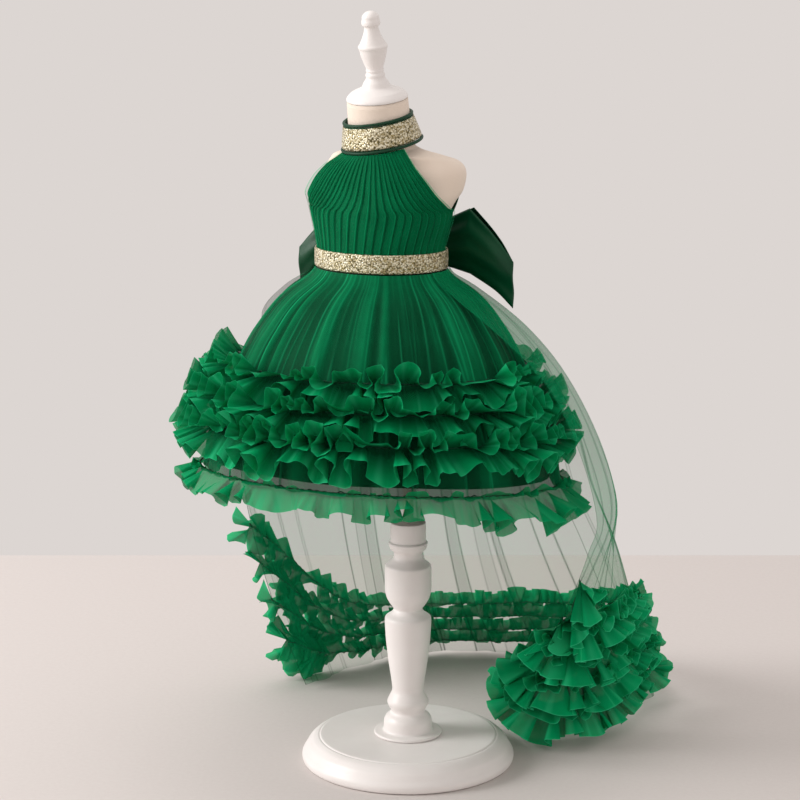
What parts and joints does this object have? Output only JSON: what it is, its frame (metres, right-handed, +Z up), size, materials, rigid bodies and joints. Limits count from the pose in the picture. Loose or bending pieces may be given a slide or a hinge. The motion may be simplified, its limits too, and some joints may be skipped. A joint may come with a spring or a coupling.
{
  "type": "pageant dress on a dress form",
  "caption": "Child's halter pageant dress of gathered tulle with ruffled bell skirt, open sheer train and back bow, worn by a limbless dress form on a turned stand.",
  "frame": {"origin": "middle of the stand's underside, on the floor", "axes": "+Z up along the column, -Y the way the dress faces, +X the wearer's left"},
  "size_m": [0.6868, 0.8924, 1.1163],
  "materials": {
    "tulle": "fine nylon net, gathered, soft sheen",
    "satin": "polyester satin, smooth, low sheen",
    "bow_satin": "heavy duchess satin, smooth sheen",
    "piping": "dark satin cord",
    "brocade": "gold lurex brocade, glittering",
    "jersey": "fine cream jersey stretched over foam",
    "white_wood": "white satin paint on turned wood",
    "pole_metal": "plain pale powder coat"
  },
  "bodies": {
    "root": {"bodice_front": "tulle", "skirt_tulle": "tulle", "ruffle_tier_1": "tulle", "ruffle_tier_2": "tulle", "ruffle_tier_3": "tulle", "hem_ruffle": "tulle", "train": "tulle", "train_ruffle_1": "tulle", "train_ruffle_2": "tulle", "train_ruffle_3": "tulle", "train_ruffle_4": "tulle", "collar_band": "satin", "bodice_back_left": "satin", "bodice_back_right": "satin", "skirt_lining": "satin", "bow_loop_left": "bow_satin", "bow_loop_right": "bow_satin", "bow_knot": "bow_satin", "collar_piping_top": "piping", "collar_piping_bottom": "piping", "collar_trim": "brocade", "belt": "brocade", "form": "jersey", "base": "white_wood", "column": "white_wood", "finial": "white_wood", "pole": "pole_metal"}
  },
  "joints": []
}
